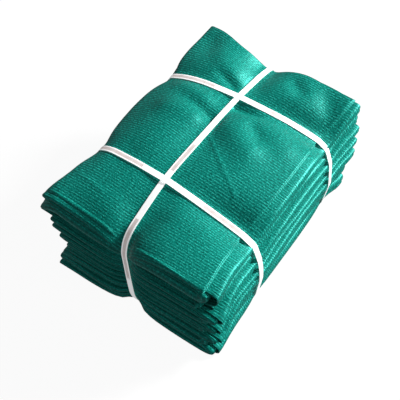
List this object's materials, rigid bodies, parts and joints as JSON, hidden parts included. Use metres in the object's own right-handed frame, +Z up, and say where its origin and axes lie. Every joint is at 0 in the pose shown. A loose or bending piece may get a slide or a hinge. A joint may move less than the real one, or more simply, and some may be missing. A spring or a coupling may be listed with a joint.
{
  "type": "folded shade netting",
  "caption": "Knitted shade netting folded back and forth into a bale and held by crossed flat straps.",
  "frame": {"origin": "middle of the bale's footprint, on the floor it stands on", "axes": "+Z up, +Y along the bale's long way towards its back, +X across it, towards the side with the loose upper edge"},
  "size_m": [0.4384, 0.5891, 0.2808],
  "materials": {
    "netting": "knitted green polyethylene tape and yarn, slight sheen",
    "strap": "flat white polypropylene strapping, finely embossed"
  },
  "bodies": {
    "root": {"netting": "netting", "strap_lengthwise": "strap", "strap_front": "strap", "strap_back": "strap"}
  },
  "joints": []
}
